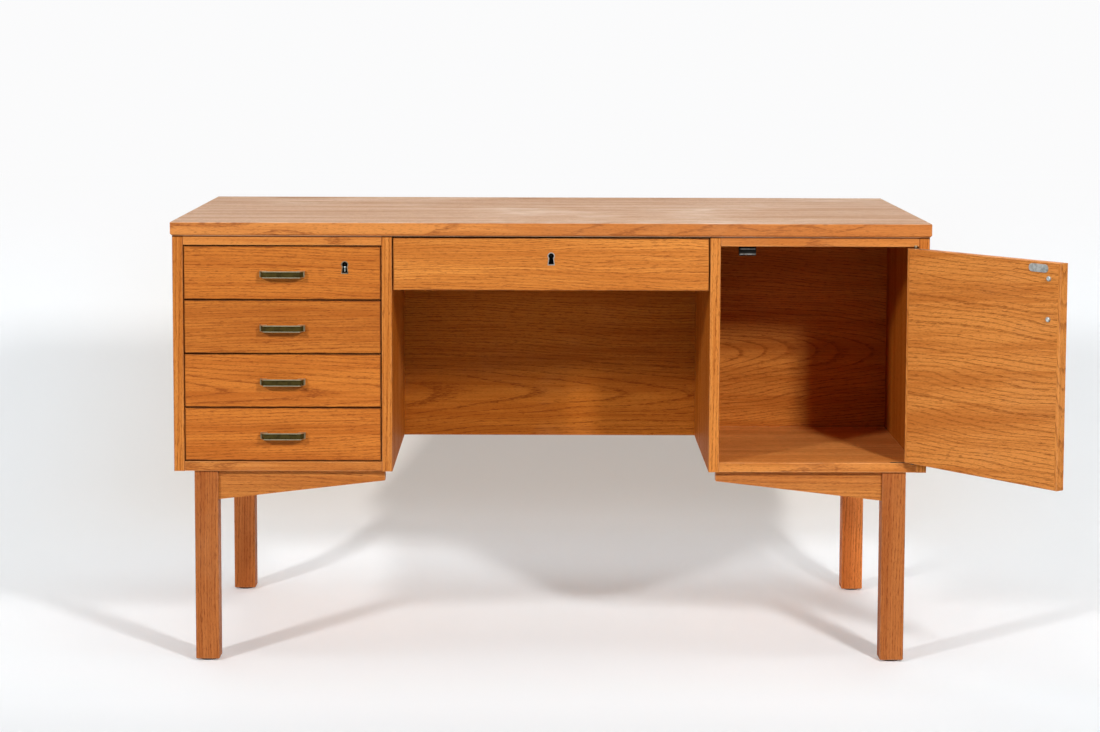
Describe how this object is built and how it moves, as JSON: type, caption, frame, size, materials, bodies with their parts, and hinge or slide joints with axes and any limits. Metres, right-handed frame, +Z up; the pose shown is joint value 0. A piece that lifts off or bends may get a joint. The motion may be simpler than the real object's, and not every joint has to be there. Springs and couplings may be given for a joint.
{
  "type": "writing desk",
  "caption": "Writing desk on pedestals with drawers, a kneehole drawer, a cupboard with a pivot-hung door, open niches at the back and straight legs.",
  "frame": {"origin": "middle of the whole desk's bounding box with the door open, on the floor", "axes": "+X to the right along the desk, +Y from front to back, +Z up"},
  "size_m": [1.4358, 0.8774, 0.74],
  "materials": {
    "oak_top": "worn oil, slightly paler and greyer than the case",
    "oak_board": "oiled oak veneer with solid lippings",
    "oak_front": "oiled oak veneer, grain running across",
    "oak_leg": "oiled solid oak, slightly darker",
    "oak_inner": "bare pale wood",
    "brass": "aged satin",
    "steel": "zinc plated",
    "dark_plastic": "matt"
  },
  "bodies": {
    "desk": {"desktop": "oak_top", "side_outer_left": "oak_board", "side_inner_left": "oak_board", "side_inner_right": "oak_board", "side_outer_right": "oak_board", "panel_upper_left": "oak_board", "panel_upper_right": "oak_board", "panel_lower_left": "oak_board", "panel_lower_right": "oak_board", "divider_left": "oak_front", "divider_right": "oak_front", "modesty_panel": "oak_front", "rear_shelf_left": "oak_board", "rear_shelf_right": "oak_board", "shelf_pins": "steel", "leg_front_left": "oak_leg", "leg_front_right": "oak_leg", "leg_rear_left": "oak_leg", "leg_rear_right": "oak_leg", "leg_rails_left": "oak_leg", "leg_rails_right": "oak_leg", "glides": "dark_plastic", "runners_left": "oak_inner", "runners_centre": "oak_inner", "magnetic_catch": "dark_plastic", "hinge_leaves_case": "brass"},
    "door": {"door_panel": "oak_front", "door_handle": "brass", "door_handle_screws": "steel", "strike_plate": "steel", "hinge_leaves_door": "brass"},
    "drawer_1": {"drawer_1_front": "oak_front", "drawer_1_box": "oak_inner", "drawer_1_bottom": "oak_inner", "drawer_1_handle": "brass", "drawer_1_lock": "steel"},
    "drawer_2": {"drawer_2_front": "oak_front", "drawer_2_box": "oak_inner", "drawer_2_bottom": "oak_inner", "drawer_2_handle": "brass"},
    "drawer_3": {"drawer_3_front": "oak_front", "drawer_3_box": "oak_inner", "drawer_3_bottom": "oak_inner", "drawer_3_handle": "brass"},
    "drawer_4": {"drawer_4_front": "oak_front", "drawer_4_box": "oak_inner", "drawer_4_bottom": "oak_inner", "drawer_4_handle": "brass"},
    "drawer_centre": {"drawer_centre_front": "oak_front", "drawer_centre_box": "oak_inner", "drawer_centre_bottom": "oak_inner", "drawer_centre_lock": "steel"},
    "bolt_1": {"drawer_1_bolt": "steel"},
    "bolt_centre": {"drawer_centre_bolt": "steel"}
  },
  "joints": [
    {"name": "door_hinge", "type": "hinge", "parent": "desk", "child": "door", "pos_m": [0.51613, -0.1763, 0.5205], "axis": [0, 0, 1], "range_deg": [-128, 10]},
    {"name": "drawer_1_slide", "type": "slide", "parent": "desk", "child": "drawer_1", "axis": [0, -1, 0], "range_m": [0, 0.27]},
    {"name": "drawer_2_slide", "type": "slide", "parent": "desk", "child": "drawer_2", "axis": [0, -1, 0], "range_m": [0, 0.27]},
    {"name": "drawer_3_slide", "type": "slide", "parent": "desk", "child": "drawer_3", "axis": [0, -1, 0], "range_m": [0, 0.27]},
    {"name": "drawer_4_slide", "type": "slide", "parent": "desk", "child": "drawer_4", "axis": [0, -1, 0], "range_m": [0, 0.27]},
    {"name": "drawer_centre_slide", "type": "slide", "parent": "desk", "child": "drawer_centre", "axis": [0, -1, 0], "range_m": [0, 0.27]},
    {"name": "bolt_1_slide", "type": "slide", "parent": "drawer_1", "child": "bolt_1", "axis": [0, 0, 1], "range_m": [0, 0.0075]},
    {"name": "bolt_centre_slide", "type": "slide", "parent": "drawer_centre", "child": "bolt_centre", "axis": [0, 0, 1], "range_m": [0, 0.0075]}
  ]
}
